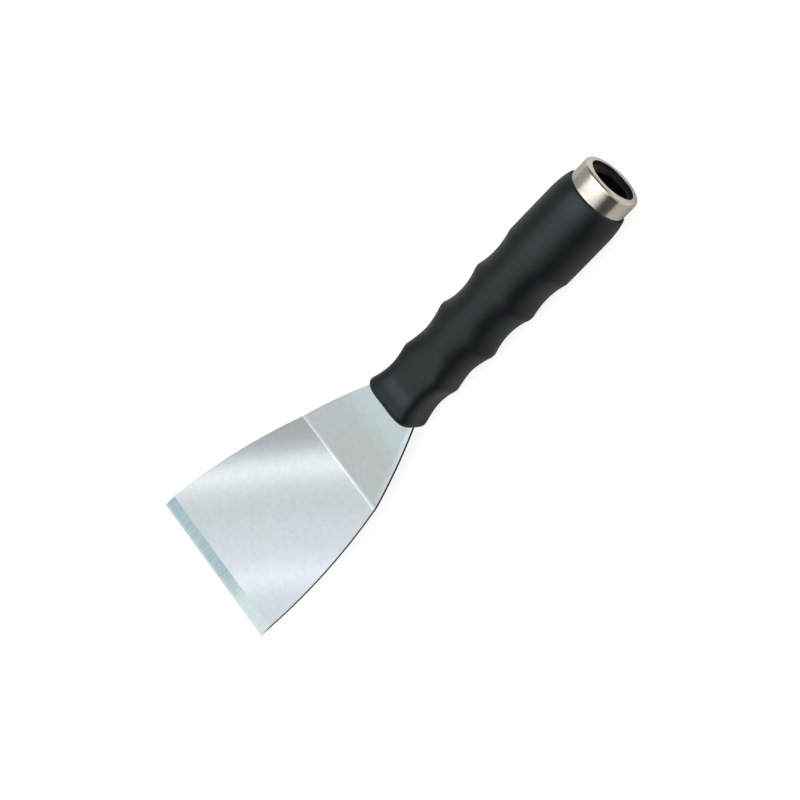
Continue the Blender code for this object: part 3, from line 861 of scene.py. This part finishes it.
def threaded_rod(start, end):
    """A rod with a helical thread; each column of vertices climbs a little more than the last."""
    bm = bmesh.new()
    section = thread_section()
    corners = len(section)
    turns = math.ceil((end - start) / THREAD_PITCH) + 1
    columns = []
    for step in range(THREAD_SEGMENTS):
        angle = 2 * math.pi * step / THREAD_SEGMENTS
        column = []
        for index in range(turns * corners + 1):
            share, radius = section[index % corners]
            pitches = index // corners + share + step / THREAD_SEGMENTS
            column.append(bm.verts.new((radius * math.cos(angle), start + pitches * THREAD_PITCH,
                                        radius * math.sin(angle))))
        columns.append(column)
    tail = []
    for index in range(turns * corners + 1, (turns + 1) * corners + 1):
        share, radius = section[index % corners]
        pitches = index // corners + share
        tail.append(bm.verts.new((radius, start + pitches * THREAD_PITCH, 0.0)))
    columns.append(columns[0][corners:] + tail)
    for first, second in zip(columns, columns[1:]):
        for index in range(turns * corners):
            bm.faces.new((first[index], first[index + 1], second[index + 1], second[index]))
    low = [column[0] for column in columns] + columns[0][corners - 1:0:-1]
    high = [column[-1] for column in columns] + tail[-2::-1]
    for loop, station in ((low, start - THREAD_PITCH), (high, end + 3 * THREAD_PITCH)):
        centre = bm.verts.new((0.0, station, 0.0))
        for index, vertex in enumerate(loop):
            bm.faces.new((vertex, loop[(index + 1) % len(loop)], centre))
    return bm


def make_bush():
    outline = [(BUSH_START, BUSH_RADIUS), (BUSH_END, BUSH_RADIUS),
               (BUSH_END, THREAD_MINOR_RADIUS - BUSH_OVERLAP),
               (BUSH_START + LEAD_IN_DEPTH, THREAD_MINOR_RADIUS - BUSH_OVERLAP),
               (BUSH_START, LEAD_IN_RADIUS)]
    bush = add_piece("socket_bush", turned_ring(outline, THREAD_SEGMENTS), [nylon_material()])
    subtract(bush, threaded_rod(BUSH_START - THREAD_PITCH, BUSH_END + THREAD_PITCH))
    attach(bush, "root")
    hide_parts("threaded_bush")


def finish_hidden_nodes():
    """The core and its pins keep their CAD shape and get their own materials."""
    steel = pin_material()
    for name, material in (("handle_core", core_material()), ("tang_pin_front", steel),
                           ("tang_pin_rear", steel)):
        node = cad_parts[name]
        node.data.materials.clear()
        node.data.materials.append(material)


# ---------------------------------------------------------------- floor, light and camera

def make_floor():
    bm = bmesh.new()
    bmesh.ops.create_grid(bm, x_segments=TABLE_CELLS, y_segments=TABLE_CELLS,
                          size=TABLE_HALF_SIZE)
    mesh = bpy.data.meshes.new("table_top")
    bm.to_mesh(mesh)
    bm.free()
    mesh.materials.append(floor_material())
    floor = bpy.data.objects.new("table_top", mesh)
    floor.location = (0.0, 0.0, cad_low.z - TABLE_DROP)
    bpy.context.scene.collection.objects.link(floor)


class SkyNodes:
    """The studio around the tool as a world shader: radiance as a function of direction."""

    def __init__(self, tree):
        self.tree = tree
        coordinates = tree.nodes.new("ShaderNodeTexCoord")
        parts = tree.nodes.new("ShaderNodeSeparateXYZ")
        tree.links.new(coordinates.outputs["Generated"], parts.inputs[0])
        self.x, self.y, self.z = parts.outputs

    def math(self, operation, first, second):
        node = self.tree.nodes.new("ShaderNodeMath")
        node.operation = operation
        for socket, value in zip(node.inputs, (first, second)):
            if isinstance(value, bpy.types.NodeSocket):
                self.tree.links.new(value, socket)
            else:
                socket.default_value = value
        return node.outputs[0]

    def ease(self, value, start, end, low=0.0, high=1.0):
        """low before start, high after end, and a smooth step between them."""
        node = self.tree.nodes.new("ShaderNodeMapRange")
        node.interpolation_type = "SMOOTHSTEP"
        for name, number in (("From Min", start), ("From Max", end), ("To Min", low),
                             ("To Max", high)):
            node.inputs[name].default_value = number
        self.tree.links.new(value, node.inputs["Value"])
        return node.outputs["Result"]

    def window(self, value, start, end, softness):
        """1 between start and end, falling smoothly to 0 over the softness at each side."""
        rise = self.ease(value, start - softness, start + softness)
        fall = self.ease(value, end - softness, end + softness, 1.0, 0.0)
        return self.math("MULTIPLY", rise, fall)


def make_world():
    """A wide soft box overhead with a brighter strip across it, in a dim room."""
    world = bpy.data.worlds.new("studio")
    bpy.context.scene.world = world
    world.use_nodes = True
    tree = world.node_tree
    sky = SkyNodes(tree)
    above = sky.math("MAXIMUM", sky.z, HORIZON)
    across = sky.math("DIVIDE", sky.x, above)
    along = sky.math("DIVIDE", sky.y, above)

    box = sky.math("MULTIPLY", sky.window(across, *BOX_ACROSS, BOX_ACROSS_SOFTNESS),
                   sky.window(along, *BOX_ALONG, BOX_ALONG_SOFTNESS))
    strength = sky.ease(along, *BOX_SHADE_ALONG, BOX_NEAR_STRENGTH, BOX_FAR_STRENGTH)
    strip = sky.window(along, *STRIP_ALONG, STRIP_SOFTNESS)
    strength = sky.math("ADD", strength, sky.math("MULTIPLY", strip, STRIP_STRENGTH))
    turned = sky.ease(across, *BOX_TURN, BOX_TURN_SHARE, 1.0)
    box = sky.math("MULTIPLY", sky.math("MULTIPLY", box, turned), strength)
    room = sky.ease(sky.x, *ROOM_TURN, ROOM_DARK, ROOM_PALE)
    room = sky.math("MULTIPLY", room, sky.ease(sky.y, *ROOM_BACK, ROOM_BACK_SHARE, 1.0))
    front = sky.math("MULTIPLY", sky.ease(sky.y, *ROOM_FRONT, 0.0, ROOM_FRONT_STRENGTH),
                     sky.ease(sky.x, *ROOM_FRONT_SIDE, 0.0, 1.0))
    wall = sky.math("MULTIPLY", sky.ease(sky.y, *WALL_BACK, 0.0, WALL_STRENGTH),
                    sky.ease(sky.x, *WALL_SIDE, 0.0, 1.0))
    wall = sky.math("MULTIPLY", wall, sky.ease(sky.z, *WALL_TOP, 0.0, 1.0))
    corner = sky.math("MULTIPLY", sky.ease(sky.y, *CORNER_BACK, 0.0, CORNER_STRENGTH),
                      sky.ease(sky.x, *CORNER_SIDE, 0.0, 1.0))
    room = sky.math("MAXIMUM", room, corner)
    room = sky.math("MAXIMUM", room, sky.math("MAXIMUM", front, wall))
    total = sky.math("MAXIMUM", box, room)

    tint = tree.nodes.new("ShaderNodeMix")
    tint.data_type, tint.blend_type = "RGBA", "MULTIPLY"
    tint.inputs[0].default_value = 1.0
    tree.links.new(total, tint.inputs[6])
    tint.inputs[7].default_value = (*SKY_TINT, 1.0)
    path = tree.nodes.new("ShaderNodeLightPath")
    seen = tree.nodes.new("ShaderNodeMix")
    seen.data_type = "RGBA"
    tree.links.new(path.outputs["Is Camera Ray"], seen.inputs[0])
    tree.links.new(tint.outputs[2], seen.inputs[6])
    seen.inputs[7].default_value = (1.0, 1.0, 1.0, 1.0)
    tree.links.new(seen.outputs[2], tree.nodes["Background"].inputs["Color"])


def make_camera():
    camera = bpy.data.cameras.new("photo_view")
    camera.lens = CAMERA_LENS
    camera.clip_start, camera.clip_end = CAMERA_CLIP
    holder = bpy.data.objects.new("photo_view", camera)
    holder.location = CAMERA_PLACE
    holder.rotation_euler = [math.radians(angle) for angle in CAMERA_TURN]
    bpy.context.scene.collection.objects.link(holder)
    bpy.context.scene.camera = holder
    bpy.context.scene.view_settings.view_transform = "Standard"


make_blade()
make_grip()
make_ferrule()
make_bush()
finish_hidden_nodes()
make_floor()
make_world()
make_camera()
